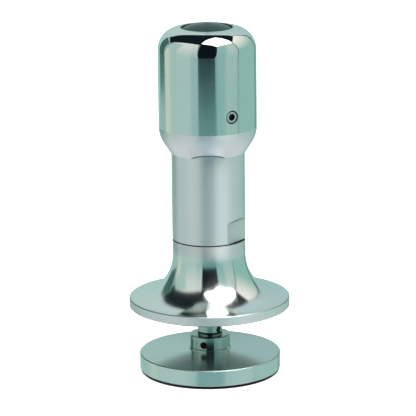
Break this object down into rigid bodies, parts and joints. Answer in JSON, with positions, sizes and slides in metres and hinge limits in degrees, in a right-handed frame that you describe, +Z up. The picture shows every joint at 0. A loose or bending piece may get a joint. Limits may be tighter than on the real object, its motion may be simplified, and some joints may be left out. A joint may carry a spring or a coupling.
{
  "type": "spring-loaded coffee tamper",
  "caption": "Upright steel coffee tamper: round pressing base on a sprung rod, levelling flange with a trumpet-shaped bell, slim barrel and a rounded knob that sets the spring force.",
  "frame": {"origin": "centre of the face pad's underside, on the surface that the tamper stands on", "axes": "+Z up along the tool's axis, -Y towards the front, where the knob's index notch is, +X to the right seen from the front"},
  "size_m": [0.066, 0.066, 0.1453],
  "materials": {
    "polished_steel": "mirror-polished stainless steel with finely turned and satin zones",
    "satin_steel": "satin stainless steel, finely turned",
    "turned_steel": "turned stainless steel",
    "polished_rod": "ground and polished stainless rod",
    "plain_steel": "plain machined steel",
    "screw_steel": "stainless socket screw",
    "blackened_steel": "black-oxide socket screw",
    "spring_steel": "drawn stainless spring wire and stamped clip",
    "ball_steel": "polished bearing ball",
    "bronze": "sintered bronze",
    "brass": "turned brass",
    "nylon": "natural nylon",
    "black_polymer": "moulded black polymer, satin",
    "black_rubber": "black rubber",
    "badge_enamel": "dark green gloss enamel under a clear dome"
  },
  "bodies": {
    "plunger": {"face_pad": "black_polymer", "base_disc": "satin_steel", "base_hub": "turned_steel", "base_screw": "plain_steel", "hub_set_screw": "blackened_steel", "rod": "polished_rod", "rod_ring": "black_rubber", "rod_circlip": "spring_steel"},
    "spring_pack": {"thrust_washer": "bronze", "lower_seat": "plain_steel", "main_spring": "spring_steel"},
    "housing": {"bell": "polished_steel", "wiper_ring": "black_rubber", "lower_bush": "bronze", "upper_bush": "bronze", "stop_washer": "nylon", "barrel": "satin_steel"},
    "spring_cap": {"upper_seat": "plain_steel", "thrust_ball": "ball_steel"},
    "handle": {"knob": "polished_steel", "thrust_stem": "plain_steel", "badge": "badge_enamel", "lock_screw": "screw_steel", "lock_pad": "brass"}
  },
  "joints": [
    {"name": "base_spin", "type": "hinge", "parent": "plunger", "child": "spring_pack", "pos_m": [0, 0, 0], "axis": [0, 0, 1], "continuous": true},
    {"name": "press", "type": "slide", "parent": "spring_pack", "child": "housing", "axis": [0, 0, 1], "range_m": [-0.008, 0], "stiffness_N_per_m": 8300, "springref_m": 0.014, "deforming": ["main_spring"]},
    {"name": "cap_travel", "type": "slide", "parent": "housing", "child": "spring_cap", "axis": [0, 0, 1], "range_m": [-0.003, 0.003], "deforming": ["main_spring"]},
    {"name": "force_adjust", "type": "hinge", "parent": "spring_cap", "child": "handle", "pos_m": [0, 0, 0], "axis": [0, 0, 1], "range_deg": [-720, 720]}
  ],
  "couplings": [
    {"joint": "force_adjust", "follows": "cap_travel", "rad_per_m": 4188.8}
  ]
}
